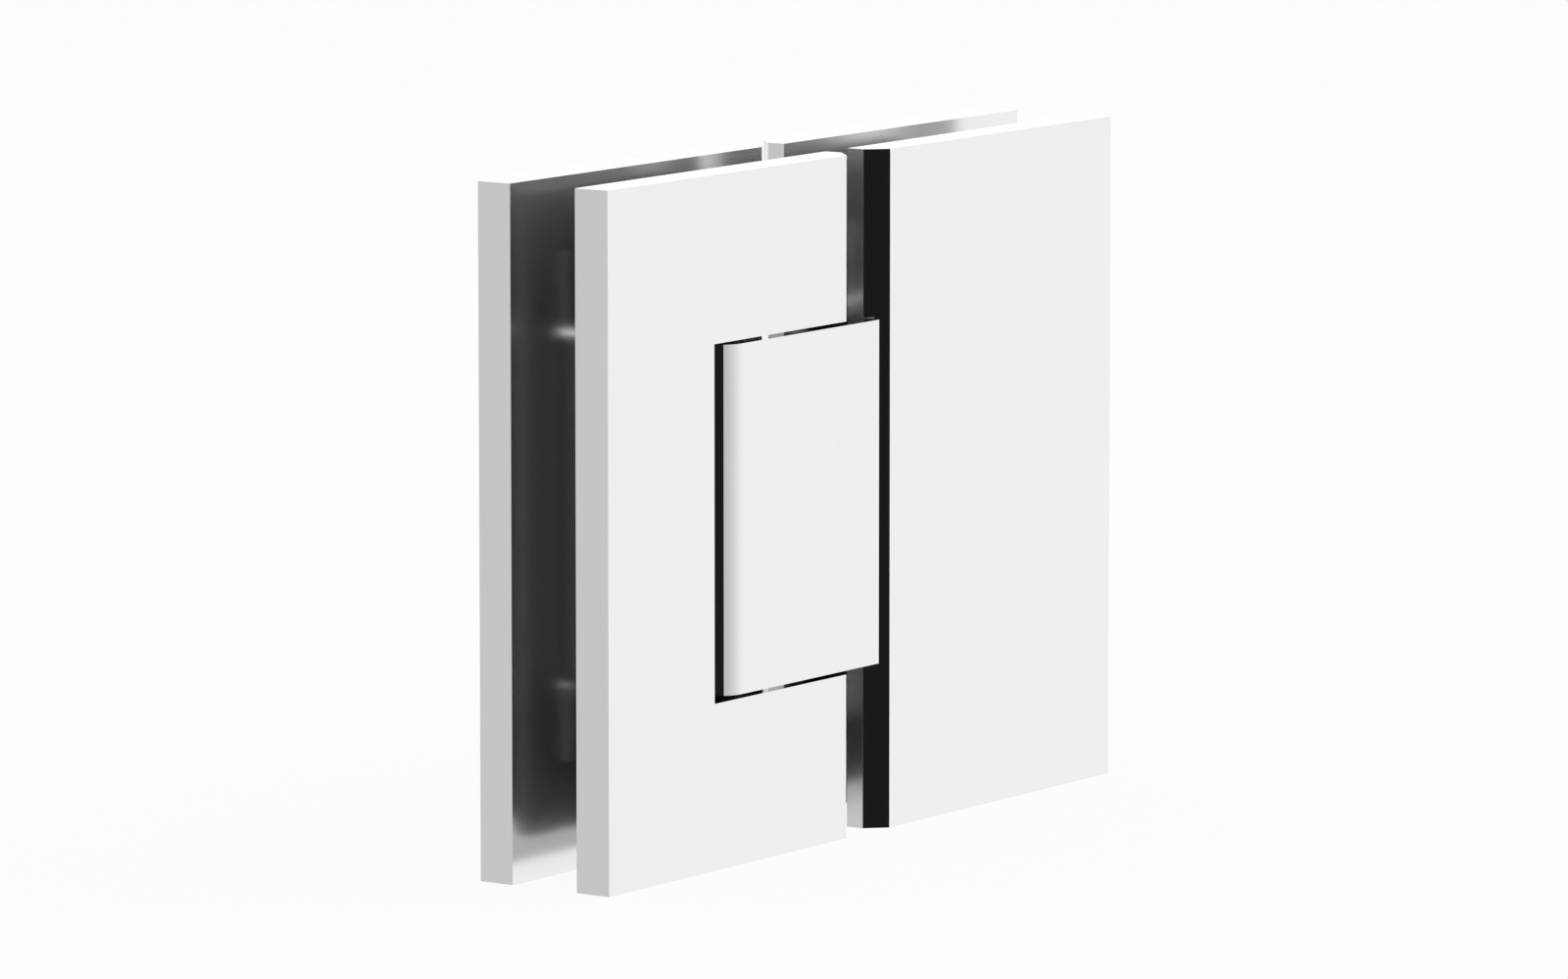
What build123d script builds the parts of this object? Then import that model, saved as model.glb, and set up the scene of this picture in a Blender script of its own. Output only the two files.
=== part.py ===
from build123d import *
import os

# A glass-to-glass door hinge that opens both ways and centres itself.
# Two plates clamp the door's glass and two more clamp the fixed glass. A pivot
# block fixed between the fixed plates fills a notch in the door plates, and the
# door turns on a pin that runs through it.
# X runs from the door leaf to the fixed leaf, Y from front to back, Z up. The
# origin is at the middle of the hinge's footprint, at its lower end.

# Driving dimensions in millimetres: the four plates
leaf_width = 55.0
leaf_height = 89.0
plate_thick = 5.0
glass_space = 10.0
leaf_gap = 5.0
corner_chamfer = 2.5

# The notch in the door plates and the block that fills it
notch_depth = 32.0
notch_height = 46.0
notch_relief = 0.5
block_clearance = 0.5
block_chamfer = 4.0
block_round = 3.5
tongue_depth = 30.0

# The pivot: pin, bushes, washers and the knuckles that hold the pin
pivot_setback = 14.5
pin_radius = 4.0
pin_recess = 0.5
pin_edge = 0.4
running_clearance = 0.04
bush_wall = 1.5
bush_length = 10.0
bore_relief = 0.5
washer_width = 1.2
washer_play = 0.1
knuckle_wall = 1.5
knuckle_height = 10.0
knuckle_start = 2.5
dowel_radius = 1.25
dowel_recess = 0.2
dowel_bite = 0.2
dowel_edge = 0.2

# The centring mechanism: flats on the pin, and sprung plungers that press on them
flat_depth = 0.3
flat_height = 9.0
plunger_spread = 13.0
plunger_radius = 3.45
plunger_length = 14.0
plunger_edge = 0.3
spigot_radius = 2.0
spigot_length = 4.0
spring_radius = 2.7
spring_wire = 1.0
spring_turns = 6.0
spring_screw_radius = 4.0
spring_screw_length = 8.0
spring_screw_recess = 0.5
spring_screw_key = 4.0
spring_screw_key_depth = 4.0

# The clamp screws, countersunk in the back plates
screw_radius = 2.5
pin_to_screw = 8.5
tongue_end_to_screw = 4.5
screw_offset = 6.0
screw_passage = 0.25
head_radius = 4.8
head_land = 0.3
head_recess = 0.2
key_width = 3.0
key_depth = 2.3
door_screw_length = 14.0
fixed_screw_length = 18.0
tap_depth = 0.4

# The gaskets that the glass bears on
gasket_thick = 1.0
gasket_band = 7.0
gasket_rim = 3.0
gasket_inset = 1.0
cutout_margin = 0.5
tongue_margin = 2.5

# Fits between pieces that stay together
seat_clearance = 0.02
thread_clearance = 0.05

# Places worked out from the dimensions
inner_y = glass_space / 2
outer_y = inner_y + plate_thick
edge_x = leaf_gap / 2
end_x = edge_x + leaf_width
middle_z = leaf_height / 2
notch_low = middle_z - notch_height / 2
notch_high = middle_z + notch_height / 2
block_low = notch_low + block_clearance
block_high = notch_high - block_clearance
block_start = -edge_x - notch_depth + block_clearance
knuckles_low = notch_low - knuckle_height
knuckles_high = notch_high + knuckle_height
pivot_x = block_start + pivot_setback
bore_radius = pin_radius + running_clearance
bush_radius = pin_radius + bush_wall
tongue_end = edge_x + tongue_depth
door_screw_x = pivot_x - pin_to_screw
fixed_screw_x = tongue_end - tongue_end_to_screw
dowel_low = knuckles_low + knuckle_height / 2
dowel_high = knuckles_high - knuckle_height / 2
screw_low = notch_low - screw_offset
screw_high = notch_high + screw_offset
plunger_low = middle_z - plunger_spread / 2
plunger_high = middle_z + plunger_spread / 2
plunger_start = pivot_x + bore_radius
plunger_end = plunger_start + plunger_length
spring_screw_start = tongue_end - spring_screw_recess - spring_screw_length
door_cutout = notch_depth + cutout_margin
fixed_cutout = tongue_depth + tongue_margin

UP = (0, 0, 1)
TO_RIGHT = (1, 0, 0)
TO_FRONT = (0, -1, 0)


def rod(start, direction, radius, length):
    """A round bar or drilled hole that runs from start along direction."""
    return extrude(Plane(start, z_dir=direction) * Circle(radius), length)


def slab(low, high):
    """A square-edged bar between two opposite corners."""
    size = [b - a for a, b in zip(low, high)]
    middle = [(a + b) / 2 for a, b in zip(low, high)]
    return Pos(*middle) * Box(*size)


def upright(outline, low, high):
    """A flat outline in plan, stood up from one height to another."""
    return extrude(Pos(0, 0, low) * make_face(Polyline(*outline, close=True)), high - low)


def broken_ends(piece, axis, size):
    """The piece with the sharp edges at both of its ends broken."""
    ends = piece.edges().group_by(axis)
    return chamfer(ends[0] + ends[-1], size)


# Plates

def fixed_front_blank():
    """A plate with its outer corner at the gap chamfered, as the fixed front one lies."""
    outline = [
        (edge_x, -inner_y),
        (edge_x, -outer_y + corner_chamfer),
        (edge_x + corner_chamfer, -outer_y),
        (end_x, -outer_y),
        (end_x, -inner_y),
    ]
    return upright(outline, 0, leaf_height)


def door_front_blank():
    """The mirrored plate with the notch for the pivot block.

    The notch's inner edges are relieved, so that the block's corners pass them
    as the door swings.
    """
    plate = mirror(fixed_front_blank(), Plane.YZ)
    wall_x = -edge_x - notch_depth
    plate -= slab((wall_x, -outer_y - 1, notch_low), (0, 0, notch_high))
    relief = [
        (wall_x + 1, -inner_y - notch_relief - 1),
        (wall_x + 1, 0),
        (wall_x - notch_relief, 0),
        (wall_x - notch_relief, -inner_y),
    ]
    return plate - upright(relief, notch_low, notch_high)


def knuckle(low, high):
    """A lug on the door's front plate, rounded about the pin that it holds."""
    start = -edge_x - notch_depth + knuckle_start
    body = slab((start, -inner_y, low), (pivot_x, inner_y, high))
    nose = rod((pivot_x, 0, low), UP, pin_radius + knuckle_wall, high - low)
    nose &= slab((pivot_x, -inner_y, low), (0, inner_y, high))
    return body + nose


def screw_hole(x, z):
    """The cut for a clamp screw through a back plate, countersunk from behind."""
    sink_radius = head_radius + thread_clearance
    sink_depth = head_recess + head_land
    cone_depth = sink_radius - screw_radius - screw_passage
    cut = rod((x, outer_y, z), TO_FRONT, sink_radius, sink_depth)
    mouth = Plane((x, outer_y - sink_depth, z), z_dir=TO_FRONT)
    cone = mouth * Cone(
        sink_radius,
        screw_radius + screw_passage,
        cone_depth,
        align=(Align.CENTER, Align.CENTER, Align.MIN),
    )
    hole = rod((x, outer_y, z), TO_FRONT, screw_radius + screw_passage, plate_thick)
    return cut + cone + hole


def door_front_plate():
    """The plate that carries both knuckles, with holes for pin, dowels and screws."""
    plate = door_front_blank()
    plate += knuckle(knuckles_low, notch_low)
    plate += knuckle(notch_high, knuckles_high)
    height = knuckles_high - knuckles_low
    plate -= rod((pivot_x, 0, knuckles_low), UP, pin_radius + seat_clearance, height)
    tap_radius = screw_radius + thread_clearance
    tap_length = door_screw_length - plate_thick + tap_depth
    dowel_length = glass_space + dowel_bite + dowel_recess
    for z in (screw_low, screw_high):
        plate -= rod((door_screw_x, inner_y, z), TO_FRONT, tap_radius, tap_length)
    for z in (dowel_low, dowel_high):
        plate -= rod((pivot_x, inner_y, z), TO_FRONT, dowel_radius + seat_clearance, dowel_length)
    return plate


def door_back_plate():
    """The loose door plate, drawn on to the knuckles and the glass by two screws."""
    plate = mirror(door_front_blank(), Plane.XZ)
    for z in (screw_low, screw_high):
        plate -= screw_hole(door_screw_x, z)
    return plate


def fixed_front_plate():
    """The plain plate, with blind tapped holes that its outer face doesn't show."""
    plate = fixed_front_blank()
    tap_radius = screw_radius + thread_clearance
    tap_length = fixed_screw_length - plate_thick - glass_space + tap_depth
    for z in (screw_low, screw_high):
        plate -= rod((fixed_screw_x, -inner_y, z), TO_FRONT, tap_radius, tap_length)
    return plate


def fixed_back_plate():
    plate = mirror(fixed_front_blank(), Plane.XZ)
    for z in (screw_low, screw_high):
        plate -= screw_hole(fixed_screw_x, z)
    return plate


# Pivot block

def pivot_block():
    """The block and its tongue, which the fixed plates clamp between them.

    Its free corners are chamfered to clear the notch as the door swings, and the
    chamfers run into the faces in a small round.
    """
    outline = [
        (block_start, -outer_y + block_chamfer),
        (block_start + block_chamfer, -outer_y),
        (edge_x, -outer_y),
        (edge_x, outer_y),
        (block_start + block_chamfer, outer_y),
        (block_start, outer_y - block_chamfer),
    ]
    block = upright(outline, block_low, block_high)
    rounded = block.edges().filter_by(Axis.Z).group_by(Axis.X)[1]
    block = fillet(rounded, block_round)
    block += slab((edge_x, -inner_y, knuckles_low), (tongue_end, inner_y, knuckles_high))

    height = block_high - block_low
    block -= rod((pivot_x, 0, block_low), UP, pin_radius + bore_relief, height)
    for low in (block_low, block_high - bush_length):
        block -= rod((pivot_x, 0, low), UP, bush_radius + seat_clearance, bush_length)

    bore = plunger_radius + thread_clearance
    thread_length = spring_screw_length + spring_screw_recess
    for z in (plunger_low, plunger_high):
        block -= rod((pivot_x, 0, z), TO_RIGHT, bore, tongue_end - pivot_x)
        start = (tongue_end - thread_length, 0, z)
        block -= rod(start, TO_RIGHT, spring_screw_radius + thread_clearance, thread_length)

    passage = screw_radius + screw_passage
    for z in (screw_low, screw_high):
        block -= rod((fixed_screw_x, inner_y, z), TO_FRONT, passage, glass_space)
    return block


# Pivot

def pivot_pin():
    """The round pin, with four flats at the height of each plunger and a hole for each dowel."""
    low = knuckles_low + pin_recess
    pin = rod((pivot_x, 0, low), UP, pin_radius, knuckles_high - pin_recess - low)
    pin = broken_ends(pin, Axis.Z, pin_edge)
    across = 2 * (pin_radius - flat_depth)
    for z in (plunger_low, plunger_high):
        ring = Cylinder(pin_radius + 1, flat_height) - Box(across, across, flat_height)
        pin -= Pos(pivot_x, 0, z) * ring
    for z in (dowel_low, dowel_high):
        start = (pivot_x, pin_radius, z)
        pin -= rod(start, TO_FRONT, dowel_radius + seat_clearance, 2 * pin_radius)
    return pin


def bush(low):
    """A plain bearing sleeve pressed into one end of the block."""
    sleeve = rod((pivot_x, 0, low), UP, bush_radius, bush_length)
    return sleeve - rod((pivot_x, 0, low), UP, bore_radius, bush_length)


def washer(low):
    """A thin ring that takes the door's weight between the block and a knuckle."""
    thick = block_clearance - washer_play
    ring = rod((pivot_x, 0, low), UP, bore_radius + washer_width, thick)
    return ring - rod((pivot_x, 0, low), UP, bore_radius, thick)


def dowel(z):
    """The cross pin that locks the pivot pin in a knuckle."""
    start = (pivot_x, inner_y - dowel_recess, z)
    pin = rod(start, TO_FRONT, dowel_radius, glass_space)
    return broken_ends(pin, Axis.Y, dowel_edge)


# Centring mechanism

def plunger(z):
    """A turned plunger with a flat nose, and a spigot that guides its spring."""
    body = rod((plunger_start, 0, z), TO_RIGHT, plunger_radius, plunger_length)
    body = broken_ends(body, Axis.X, plunger_edge)
    return body + rod((plunger_end, 0, z), TO_RIGHT, spigot_radius, spigot_length)


def spring(z):
    """A coil spring between the plunger's shoulder and the spring screw."""
    wire = spring_wire / 2
    length = spring_screw_start - plunger_end - 2 * (wire + seat_clearance)
    start = (plunger_end + wire + seat_clearance, 0, z)
    path = Helix(length / spring_turns, length, spring_radius, center=start, direction=TO_RIGHT)
    return sweep(Plane(path @ 0, z_dir=path % 0) * Circle(wire), path=path)


def hexagon(width):
    """A hexagon by the width across its flats."""
    return RegularPolygon(width / 2, 6, major_radius=False)


def spring_screw(z):
    """A headless socket screw that sets the spring's load from the tongue's end."""
    start = (spring_screw_start, 0, z)
    screw = rod(start, TO_RIGHT, spring_screw_radius, spring_screw_length)
    screw = broken_ends(screw, Axis.X, plunger_edge)
    mouth = Plane((spring_screw_start + spring_screw_length, 0, z), z_dir=(-1, 0, 0))
    return screw - extrude(mouth * hexagon(spring_screw_key), spring_screw_key_depth)


# Clamp screws

def clamp_screw(x, z, length):
    """A countersunk socket screw, driven from behind."""
    top_y = outer_y - head_recess
    cone_depth = head_radius - screw_radius
    head = rod((x, top_y, z), TO_FRONT, head_radius, head_land)
    cone = Plane((x, top_y - head_land, z), z_dir=TO_FRONT) * Cone(
        head_radius,
        screw_radius,
        cone_depth,
        align=(Align.CENTER, Align.CENTER, Align.MIN),
    )
    shank = rod((x, top_y, z), TO_FRONT, screw_radius, length - head_recess)
    shank = chamfer(shank.edges().group_by(Axis.Y)[0], plunger_edge)
    screw = head + cone + shank
    mouth = Plane((x, top_y, z), z_dir=TO_FRONT)
    return screw - extrude(mouth * hexagon(key_width), key_depth)


# Gaskets

def front_gasket(cutout):
    """A sheet gasket on a fixed plate's inner face, cut away to a depth from its leaf's edge."""
    face_y = -inner_y + gasket_thick
    stop = edge_x + cutout + gasket_band
    sheet = slab(
        (edge_x + gasket_inset, -inner_y, gasket_rim),
        (stop, face_y, leaf_height - gasket_rim),
    )
    low = knuckles_low - cutout_margin
    high = knuckles_high + cutout_margin
    return sheet - slab((0, -inner_y - 1, low), (edge_x + cutout, 0, high))


door_gasket = mirror(front_gasket(door_cutout), Plane.YZ)
fixed_gasket = front_gasket(fixed_cutout)

nodes = {
    "door_front_plate": door_front_plate(),
    "door_back_plate": door_back_plate(),
    "fixed_front_plate": fixed_front_plate(),
    "fixed_back_plate": fixed_back_plate(),
    "pivot_block": pivot_block(),
    "pivot_pin": pivot_pin(),
    "upper_bush": bush(block_high - bush_length),
    "lower_bush": bush(block_low),
    "upper_washer": washer(block_high),
    "lower_washer": washer(block_low - block_clearance + washer_play),
    "upper_dowel": dowel(dowel_high),
    "lower_dowel": dowel(dowel_low),
    "upper_plunger": plunger(plunger_high),
    "lower_plunger": plunger(plunger_low),
    "upper_spring": spring(plunger_high),
    "lower_spring": spring(plunger_low),
    "upper_spring_screw": spring_screw(plunger_high),
    "lower_spring_screw": spring_screw(plunger_low),
    "door_upper_screw": clamp_screw(door_screw_x, screw_high, door_screw_length),
    "door_lower_screw": clamp_screw(door_screw_x, screw_low, door_screw_length),
    "fixed_upper_screw": clamp_screw(fixed_screw_x, screw_high, fixed_screw_length),
    "fixed_lower_screw": clamp_screw(fixed_screw_x, screw_low, fixed_screw_length),
    "door_front_gasket": door_gasket,
    "door_back_gasket": mirror(door_gasket, Plane.XZ),
    "fixed_front_gasket": fixed_gasket,
    "fixed_back_gasket": mirror(fixed_gasket, Plane.XZ),
}

os.makedirs("parts", exist_ok=True)
for name, solid in nodes.items():
    export_step(solid, os.path.join("parts", name + ".step"))
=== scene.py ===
from math import degrees, radians

import bpy
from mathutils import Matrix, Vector


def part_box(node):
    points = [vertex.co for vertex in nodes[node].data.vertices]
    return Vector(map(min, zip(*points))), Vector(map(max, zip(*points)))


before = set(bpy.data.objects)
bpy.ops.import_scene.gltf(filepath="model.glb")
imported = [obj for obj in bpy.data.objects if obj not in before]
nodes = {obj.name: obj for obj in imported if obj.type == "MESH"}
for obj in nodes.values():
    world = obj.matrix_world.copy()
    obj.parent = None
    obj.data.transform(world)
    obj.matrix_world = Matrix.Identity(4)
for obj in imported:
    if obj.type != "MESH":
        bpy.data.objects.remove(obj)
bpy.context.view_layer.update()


# Pivot block
# One piece of brass, milled to a block that fills the notch and a tongue that the fixed plates
# clamp. It is polished and chromed where it shows, and left as milled under the fixed plates,
# where its colour is a dark painted shade.

def add(tree, kind, **settings):
    """A shader node with its properties, and its unlinked sockets by name."""
    node = tree.nodes.new("ShaderNode" + kind)
    for name, value in settings.items():
        if hasattr(node, name):
            setattr(node, name, value)
        else:
            node.inputs[name.replace("_", " ")].default_value = value
    return node


def group_of(name, inputs, outputs):
    """An empty node group with named float or vector sockets, and its two ends."""
    tree = bpy.data.node_groups.new(name, "ShaderNodeTree")
    for label, kind, value in inputs:
        socket = tree.interface.new_socket(label, in_out="INPUT", socket_type="NodeSocket" + kind)
        socket.default_value = value
    for label, kind in outputs:
        tree.interface.new_socket(label, in_out="OUTPUT", socket_type="NodeSocket" + kind)
    return tree, tree.nodes.new("NodeGroupInput"), tree.nodes.new("NodeGroupOutput")


def placed(tree, group, **values):
    """The group as a node in a material, with its own values."""
    node = tree.nodes.new("ShaderNodeGroup")
    node.node_tree = group
    for name, value in values.items():
        node.inputs[name.replace("_", " ")].default_value = value
    return node


def reckon(tree, operation, first, second=None, third=None):
    """A Math node on sockets or plain numbers."""
    node = add(tree, "Math", operation=operation)
    for socket, value in zip(node.inputs, (first, second, third)):
        if isinstance(value, bpy.types.NodeSocket):
            tree.links.new(value, socket)
        elif value is not None:
            socket.default_value = value
    return node.outputs[0]


def mixed(tree, factor, first, second):
    """Two values mixed by a factor. Each is a socket or a plain number."""
    blend = add(tree, "Mix", data_type="FLOAT")
    for name, value in (("Factor", factor), ("A", first), ("B", second)):
        if isinstance(value, bpy.types.NodeSocket):
            tree.links.new(value, blend.inputs[name])
        else:
            blend.inputs[name].default_value = value
    return blend.outputs["Result"]


def polishing():
    """What the polishing wheel leaves: a faint haze, hairline streaks and long low waves."""
    tree, start, end = group_of(
        "polishing",
        [("Smooth", "Float", 0.03), ("Haze", "Float", 0.02), ("Streaks", "Float", 0.02)],
        [("Roughness", "Float"), ("Height", "Float"), ("Tone", "Float")],
    )
    place = add(tree, "TexCoord").outputs["Object"]
    cloud = add(tree, "TexNoise", Scale=90.0, Detail=4.0, Roughness=0.6)
    tree.links.new(place, cloud.inputs["Vector"])
    drawn = add(tree, "Mapping", Scale=(400.0, 400.0, 9000.0))
    tree.links.new(place, drawn.inputs["Vector"])
    hair = add(tree, "TexNoise", Scale=1.0, Detail=3.0, Roughness=0.7)
    tree.links.new(drawn.outputs[0], hair.inputs["Vector"])
    haze = reckon(tree, "MULTIPLY", start.outputs["Haze"], cloud.outputs[0])
    streaks = reckon(tree, "MULTIPLY", start.outputs["Streaks"], hair.outputs[0])
    rough = reckon(tree, "ADD", reckon(tree, "ADD", start.outputs["Smooth"], haze), streaks)
    tree.links.new(rough, end.inputs["Roughness"])
    tree.links.new(hair.outputs[0], end.inputs["Height"])
    tree.links.new(cloud.outputs[0], end.inputs["Tone"])
    return tree


def limit():
    """A mask that turns from 0 to 1 where a coordinate passes a limit."""
    tree, start, end = group_of(
        "limit",
        [("Coordinate", "Float", 0.0), ("Limit", "Float", 0.0), ("Blend", "Float", 0.0002)],
        [("Mask", "Float")],
    )
    beyond = reckon(tree, "SUBTRACT", start.outputs["Coordinate"], start.outputs["Limit"])
    share = reckon(tree, "DIVIDE", beyond, start.outputs["Blend"])
    mask = add(tree, "Clamp")
    tree.links.new(share, mask.inputs[0])
    tree.links.new(mask.outputs[0], end.inputs["Mask"])
    return tree


def coordinates(tree):
    """The X, Y and Z of a point in the hinge's frame, as sockets by name."""
    parts = add(tree, "SeparateXYZ")
    tree.links.new(add(tree, "TexCoord").outputs["Object"], parts.inputs[0])
    return parts.outputs


polish = polishing()
past_limit = limit()

# In metres, the width over which a mask turns and the unit of how far it keeps off a face
HAIR = 0.00001


def past(tree, coordinate, edge):
    """A mask that is 1 where the coordinate is past the edge."""
    mask = placed(tree, past_limit, Limit=edge, Blend=HAIR)
    tree.links.new(coordinate, mask.inputs["Coordinate"])
    return mask.outputs["Mask"]


CHROME_TONES = ((0.865, 0.865, 0.865, 1.0), (0.885, 0.885, 0.885, 1.0))
# Painted shade: the dark colour that chrome takes where it lies between the plates
PAINTED_SHADE_TONE = (0.12, 0.12, 0.12, 1.0)
# Where a colour Mix node has its two colours, and where its result
FIRST_COLOUR, SECOND_COLOUR, MIXED_COLOUR = 6, 7, 2


def chrome(name, ground_rule, painted_shade_rule):
    """Bright chrome, ground where ground_rule's mask is 1, with painted shade where the second mask is
    1.
    """
    material = bpy.data.materials.new(name)
    material.use_nodes = True
    tree = material.node_tree
    surface = tree.nodes["Principled BSDF"]
    surface.inputs["Metallic"].default_value = 1.0
    mirror = placed(tree, polish, Smooth=0.012, Haze=0.012, Streaks=0.006)
    ground = placed(tree, polish, Smooth=0.17, Haze=0.02, Streaks=0.01)
    mask = ground_rule(tree)
    rough = mixed(tree, mask, mirror.outputs["Roughness"], ground.outputs["Roughness"])
    tree.links.new(rough, surface.inputs["Roughness"])
    tone = add(tree, "ValToRGB")
    for element, shade in zip(tone.color_ramp.elements, CHROME_TONES):
        element.color = shade
    tree.links.new(mirror.outputs["Tone"], tone.inputs[0])
    # Painted shade: where the second rule's mask is 1 the colour turns to the dark tone
    colour = add(tree, "Mix", data_type="RGBA")
    tree.links.new(painted_shade_rule(tree), colour.inputs["Factor"])
    tree.links.new(tone.outputs[0], colour.inputs[FIRST_COLOUR])
    colour.inputs[SECOND_COLOUR].default_value = PAINTED_SHADE_TONE
    tree.links.new(colour.outputs[MIXED_COLOUR], surface.inputs["Base Color"])
    bump = add(tree, "Bump", Strength=0.02, Distance=0.000001)
    tree.links.new(reckon(tree, "MULTIPLY", ground.outputs["Height"], mask), bump.inputs["Height"])
    tree.links.new(bump.outputs[0], surface.inputs["Normal"])
    return material


def under_fixed_plates(tree):
    """Past the gap between the leaves the block is its tongue, which the plates cover."""
    plates_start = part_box("fixed_front_plate")[0].x
    return past(tree, coordinates(tree)["X"], plates_start - 2 * HAIR)


def finish(name, material):
    """The piece keeps its shape and takes this material."""
    mesh = nodes[name].data
    mesh.materials.clear()
    mesh.materials.append(material)


# The tongue between the fixed plates is ground and coloured with a dark painted shade
finish("pivot_block", chrome("block_chrome", under_fixed_plates, under_fixed_plates))


# Bushes and washers
# Turned from black acetal, so that the pin runs dry in them. The bushes are pressed into the
# block's ends, and the washers lie loose between the block and the knuckles.

def turning():
    """Rings that a lathe tool leaves round an axis, on the ends and along the sides."""
    tree, start, end = group_of(
        "turning",
        [
            ("Centre", "Vector", (0.0, 0.0, 0.0)),
            ("Axis", "Vector", (0.0, 0.0, 1.0)),
            ("Pitch", "Float", 0.00012),
        ],
        [("Rings", "Float"), ("Shade", "Float")],
    )
    place = add(tree, "TexCoord").outputs["Object"]
    away = add(tree, "VectorMath", operation="SUBTRACT")
    tree.links.new(place, away.inputs[0])
    tree.links.new(start.outputs["Centre"], away.inputs[1])
    along = add(tree, "VectorMath", operation="DOT_PRODUCT")
    tree.links.new(away.outputs[0], along.inputs[0])
    tree.links.new(start.outputs["Axis"], along.inputs[1])
    reach = add(tree, "VectorMath", operation="CROSS_PRODUCT")
    tree.links.new(away.outputs[0], reach.inputs[0])
    tree.links.new(start.outputs["Axis"], reach.inputs[1])
    radius = add(tree, "VectorMath", operation="LENGTH")
    tree.links.new(reach.outputs[0], radius.inputs[0])
    total = reckon(tree, "ADD", along.outputs["Value"], radius.outputs["Value"])
    turns = reckon(tree, "DIVIDE", total, start.outputs["Pitch"])
    rings = add(tree, "TexNoise", noise_dimensions="1D", Scale=1.0, Detail=2.0, Roughness=0.5)
    tree.links.new(turns, rings.inputs["W"])
    cloud = add(tree, "TexNoise", Scale=700.0, Detail=3.0, Roughness=0.55)
    tree.links.new(place, cloud.inputs["Vector"])
    tree.links.new(rings.outputs[0], end.inputs["Rings"])
    tree.links.new(cloud.outputs[0], end.inputs["Shade"])
    return tree


turned = turning()


def turned_material(name, centre, axis, dark, light, rough, metal, depth, pitch):
    """A turned surface between two colours, with tool marks round its axis."""
    material = bpy.data.materials.new(name)
    material.use_nodes = True
    tree = material.node_tree
    surface = tree.nodes["Principled BSDF"]
    surface.inputs["Metallic"].default_value = metal
    marks = placed(tree, turned, Centre=centre, Axis=axis, Pitch=pitch)
    colour = add(tree, "ValToRGB")
    for element, place, shade in zip(colour.color_ramp.elements, (0.3, 0.7), (dark, light)):
        element.position = place
        element.color = (*shade, 1.0)
    tree.links.new(marks.outputs["Shade"], colour.inputs[0])
    tree.links.new(colour.outputs[0], surface.inputs["Base Color"])
    spread = add(tree, "MapRange", To_Min=rough[0], To_Max=rough[1])
    tree.links.new(marks.outputs["Rings"], spread.inputs["Value"])
    tree.links.new(spread.outputs[0], surface.inputs["Roughness"])
    bump = add(tree, "Bump", Strength=0.5, Distance=depth)
    tree.links.new(marks.outputs["Rings"], bump.inputs["Height"])
    tree.links.new(bump.outputs[0], surface.inputs["Normal"])
    return material


def middle(name):
    low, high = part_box(name)
    return (low + high) / 2


def turned_from(name, prefix, axis, **looks):
    """Finishes a node as turned about the middle of its own box."""
    finish(name, turned_material(prefix + name, middle(name), axis, **looks))


ACETAL = dict(dark=(0.045, 0.045, 0.046), light=(0.075, 0.075, 0.077), rough=(0.3, 0.42), metal=0.0,
              depth=0.000006, pitch=0.00015)
for name in ("upper_bush", "lower_bush", "upper_washer", "lower_washer"):
    turned_from(name, "acetal_", (0.0, 0.0, 1.0), **ACETAL)


# Plungers, springs and spring screws
# Two turned steel plungers slide in the tongue's bores and press on the pin's flats. Springs of
# drawn wire drive them, and headless socket screws behind the springs set their load.

GROUND_STEEL = dict(dark=(0.5, 0.5, 0.51), light=(0.6, 0.6, 0.61), rough=(0.16, 0.3), metal=1.0,
                    depth=0.000004, pitch=0.0001)
SPRING_WIRE = dict(dark=(0.3, 0.3, 0.31), light=(0.46, 0.46, 0.47), rough=(0.25, 0.4), metal=1.0,
                   depth=0.000003, pitch=0.0002)
for side in ("upper", "lower"):
    turned_from(side + "_plunger", "steel_", (1.0, 0.0, 0.0), **GROUND_STEEL)
    turned_from(side + "_spring", "wire_", (1.0, 0.0, 0.0), **SPRING_WIRE)
    turned_from(side + "_spring_screw", "steel_", (1.0, 0.0, 0.0), **GROUND_STEEL)


# Pin and dowels
# The pivot pin is ground stainless steel with four flats for each plunger. A dowel driven
# through each knuckle from behind locks the pin in the door leaf.

turned_from("pivot_pin", "steel_", (0.0, 0.0, 1.0), **GROUND_STEEL)
for name in ("upper_dowel", "lower_dowel"):
    turned_from(name, "steel_", (0.0, 1.0, 0.0), **GROUND_STEEL)


# Plates
# Four plates of solid brass with sharp polished edges, chromed bright outside and only ground on
# their inner faces and at the gap. The door's front plate has both knuckles cast on, with noses
# machined about the pin. The knuckles' colour between the plates is a dark painted shade.

def inner_faces(tree):
    """The faces towards the glass, and the ends that face each other across the leaf gap."""
    place = coordinates(tree)
    off_glass = past(tree, reckon(tree, "ABSOLUTE", place["Y"]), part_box("door_back_plate")[0].y + HAIR)
    off_gap = past(tree, reckon(tree, "ABSOLUTE", place["X"]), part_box("fixed_back_plate")[0].x + HAIR)
    return reckon(tree, "SUBTRACT", 1.0, reckon(tree, "MULTIPLY", off_glass, off_gap))


def knuckles_painted_shade(tree):
    """Painted shade on the knuckles in the glass space, as far as the noses machined about the pin."""
    place = coordinates(tree)
    plates_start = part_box("door_back_plate")[0].y - 10 * HAIR
    plates = past(tree, reckon(tree, "ABSOLUTE", place["Y"]), plates_start)
    nose = past(tree, place["X"], middle("pivot_pin").x)
    between = reckon(tree, "SUBTRACT", 1.0, plates)
    return reckon(tree, "MULTIPLY", between, reckon(tree, "SUBTRACT", 1.0, nose))


# The knuckles between the plates take a dark painted shade
plate_chrome = chrome("plate_chrome", inner_faces, knuckles_painted_shade)
for name in ("door_front_plate", "door_back_plate", "fixed_front_plate", "fixed_back_plate"):
    finish(name, plate_chrome)


# Gaskets
# Sheets of grey rubber punched to the outline of the glass cut-out, and stuck to the inner
# face of each plate so that the metal never touches the glass.

RUBBER_TONES = ((0.145, 0.145, 0.147, 1.0), (0.195, 0.195, 0.197, 1.0))


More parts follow.
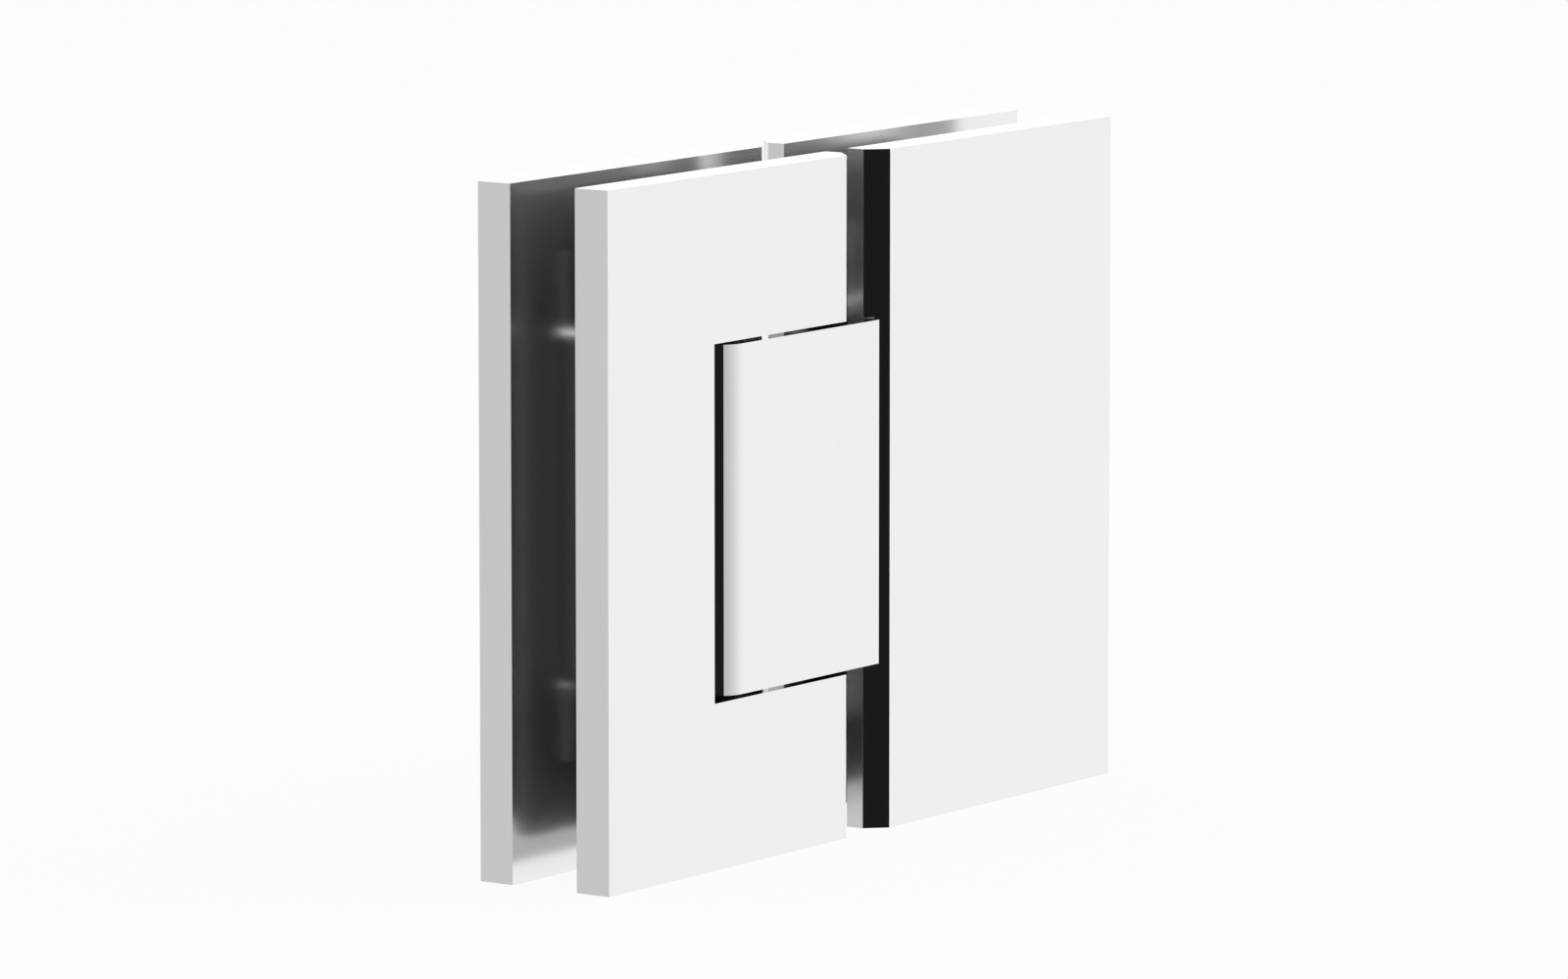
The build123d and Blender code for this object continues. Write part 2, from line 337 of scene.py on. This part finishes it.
def rubber():
    """Matt grey rubber with a fine calendered grain and a little bloom."""
    material = bpy.data.materials.new("gasket_rubber")
    material.use_nodes = True
    tree = material.node_tree
    surface = tree.nodes["Principled BSDF"]
    surface.inputs["IOR"].default_value = 1.5
    place = add(tree, "TexCoord").outputs["Object"]
    bloom = add(tree, "TexNoise", Scale=160.0, Detail=5.0, Roughness=0.6)
    grain = add(tree, "TexNoise", Scale=5000.0, Detail=2.0, Roughness=0.5)
    for texture in (bloom, grain):
        tree.links.new(place, texture.inputs["Vector"])
    colour = add(tree, "ValToRGB")
    for element, shade in zip(colour.color_ramp.elements, RUBBER_TONES):
        element.color = shade
    tree.links.new(bloom.outputs[0], colour.inputs[0])
    tree.links.new(colour.outputs[0], surface.inputs["Base Color"])
    spread = add(tree, "MapRange", To_Min=0.32, To_Max=0.5)
    tree.links.new(bloom.outputs[0], spread.inputs["Value"])
    tree.links.new(spread.outputs[0], surface.inputs["Roughness"])
    bump = add(tree, "Bump", Strength=0.4, Distance=0.00001)
    tree.links.new(grain.outputs[0], bump.inputs["Height"])
    tree.links.new(bump.outputs[0], surface.inputs["Normal"])
    return material


gasket_rubber = rubber()
for leaf in ("door", "fixed"):
    for side in ("front", "back"):
        finish(f"{leaf}_{side}_gasket", gasket_rubber)


# Clamp screws
# Countersunk socket screws of stainless steel, two to a leaf. They are driven from behind into
# the front plate and draw the two plates on to the glass.

SCREW_STEEL = dict(dark=(0.6, 0.6, 0.61), light=(0.7, 0.7, 0.71), rough=(0.14, 0.3), metal=1.0,
                   depth=0.000005, pitch=0.00013)
for leaf in ("door", "fixed"):
    for side in ("upper", "lower"):
        turned_from(f"{leaf}_{side}_screw", "stainless_", (0.0, 1.0, 0.0), **SCREW_STEEL)


# Floor and backdrop
# The hinge stands on a pale floor that runs out of view. The camera sees the floor and the
# backdrop as white, and the floor keeps a faint shadow.

FLOOR_SIZE = 12.0
FLOOR_GREY = (0.7, 0.7, 0.7, 1.0)
# How much of the floor's brightness for the camera is plain white
FLOOR_WHITE = 0.94
bpy.ops.mesh.primitive_plane_add(size=FLOOR_SIZE)
floor = bpy.context.object
floor.name = "floor"
floor.visible_glossy = False

floor_finish = bpy.data.materials.new("pale_floor")
floor_finish.use_nodes = True
tree = floor_finish.node_tree
paint = tree.nodes["Principled BSDF"]
paint.inputs["Base Color"].default_value = FLOOR_GREY
paint.inputs["Roughness"].default_value = 0.9
paint.inputs["Specular IOR Level"].default_value = 0.0
seen = add(tree, "LightPath")
glow = add(tree, "Emission", Strength=1.0)
blend = add(tree, "MixShader")
tree.links.new(reckon(tree, "MULTIPLY", seen.outputs["Is Camera Ray"], FLOOR_WHITE), blend.inputs[0])
tree.links.new(paint.outputs[0], blend.inputs[1])
tree.links.new(glow.outputs[0], blend.inputs[2])
tree.links.new(blend.outputs[0], tree.nodes["Material Output"].inputs["Surface"])
floor.data.materials.append(floor_finish)


# Studio
# Soft walls all round, greyer on the left, with three dark flags that give the chrome its edges.
# The studio is what the chrome mirrors, and a plain soft light is what lights the rest.

# How bright the wall is at each heading, in degrees from the front towards the fixed leaf
WALLS = [
    (-180, 0.7),
    (-140, 0.64),
    (-110, 0.63),
    (-33, 0.52),
    (55, 0.98),
    (120, 1.0),
    (180, 0.7),
]
# Each flag's headings from and to, its lower and upper edge as the sine of its height, how
# soft its upright edges are in degrees, and how bright it is
FLAGS = [
    ((-40.0, -31.0), (-0.2, 0.17), 0.8, 0.012),
    ((112.0, 132.0), (-0.2, -0.04), 3.0, 0.28),
    ((-165.0, -85.0), (0.02, 0.3), 8.0, 0.4),
]
# How soft the level edges of the flags are, as a sine
FLAG_EDGE = 0.02
# How far the walls darken towards their foot, how bright the ceiling and what is overhead are,
# and between which heights each sets in, as sines
FOOT_SHADE, FOOT_ENDS = 0.6, (-0.7, -0.22)
CEILING, CEILING_BEGINS = 1.15, (0.0, 0.08)
OVERHEAD, OVERHEAD_BEGINS = 0.55, (0.18, 0.4)
# The plain light on all that doesn't mirror
SOFT_LIGHT = 0.85
FULL_TURN = 360.0

world = bpy.data.worlds.new("studio")
bpy.context.scene.world = world
world.use_nodes = True
world.cycles.sampling_method = "NONE"
tree = world.node_tree
tree.nodes.clear()


def ramp(value, low, high, begin=0.0, end=1.0):
    """A smooth change from begin to end as value goes from low to high."""
    change = add(tree, "MapRange", interpolation_type="SMOOTHSTEP", From_Min=low, From_Max=high,
                 To_Min=begin, To_Max=end)
    tree.links.new(value, change.inputs["Value"])
    return change.outputs[0]


aim = add(tree, "SeparateXYZ")
tree.links.new(add(tree, "TexCoord").outputs["Generated"], aim.inputs[0])
forward = reckon(tree, "MULTIPLY", aim.outputs["Y"], -1.0)
turn = reckon(tree, "ARCTAN2", aim.outputs["X"], forward)
heading = reckon(tree, "MULTIPLY", turn, degrees(1.0))
height = aim.outputs["Z"]
walls = add(tree, "ValToRGB")
while len(walls.color_ramp.elements) < len(WALLS):
    walls.color_ramp.elements.new(0.5)
for mark, (angle, bright) in zip(walls.color_ramp.elements, WALLS):
    mark.position = angle / FULL_TURN + 0.5
    mark.color = (bright, bright, bright, 1.0)
tree.links.new(reckon(tree, "MULTIPLY_ADD", heading, 1.0 / FULL_TURN, 0.5), walls.inputs[0])

lit = reckon(tree, "MULTIPLY", walls.outputs[0], ramp(height, *FOOT_ENDS, FOOT_SHADE, 1.0))
room = mixed(tree, ramp(height, *CEILING_BEGINS), lit, CEILING)
room = mixed(tree, ramp(height, *OVERHEAD_BEGINS), room, OVERHEAD)
for (begin, end), (low, high), soft, bright in FLAGS:
    wide = reckon(tree, "MULTIPLY", ramp(heading, begin, begin + soft), ramp(heading, end + soft, end))
    above = ramp(height, low - FLAG_EDGE, low)
    tall = reckon(tree, "MULTIPLY", above, ramp(height, high + FLAG_EDGE, high))
    room = mixed(tree, reckon(tree, "MULTIPLY", wide, tall), room, bright)

ray = add(tree, "LightPath")
lighting = mixed(tree, ray.outputs["Is Glossy Ray"], SOFT_LIGHT, room)
shown = mixed(tree, ray.outputs["Is Camera Ray"], lighting, 1.0)
sky = add(tree, "Background", Color=(1.0, 1.0, 1.0, 1.0))
tree.links.new(shown, sky.inputs["Strength"])
output = add(tree, "OutputWorld")
tree.links.new(sky.outputs[0], output.inputs[0])

LAMP_PLACE = Vector((0.5, -0.6, 0.9))
LAMP_POWER = 2.5
LAMP_SIZE = 0.6
lamp = bpy.data.lights.new("softbox", "AREA")
lamp.energy = LAMP_POWER
lamp.size = LAMP_SIZE
softbox = bpy.data.objects.new("softbox", lamp)
softbox.location = LAMP_PLACE
softbox.rotation_euler = (-LAMP_PLACE).to_track_quat("-Z", "Y").to_euler()
softbox.visible_glossy = False
bpy.context.scene.collection.objects.link(softbox)


# Camera
# A long lens at the height of the photograph's, level from side to side, from the front left
# and a little above the hinge.

CAMERA_PLACE = (-1.03683, -0.71701, 0.21711)
CAMERA_HEADING = -55.213
CAMERA_DIP = 7.805
SENSOR_WIDTH = 36.0
LENS_LENGTH = 224.6
camera_lens = bpy.data.cameras.new("camera")
camera_lens.sensor_width = SENSOR_WIDTH
camera_lens.lens = LENS_LENGTH
camera_lens.clip_start = 0.01
camera_lens.clip_end = 30.0
camera = bpy.data.objects.new("camera", camera_lens)
camera.location = CAMERA_PLACE
camera.rotation_euler = (radians(90.0 - CAMERA_DIP), 0.0, radians(CAMERA_HEADING))
bpy.context.scene.collection.objects.link(camera)
bpy.context.scene.camera = camera
bpy.context.scene.view_settings.view_transform = "Standard"
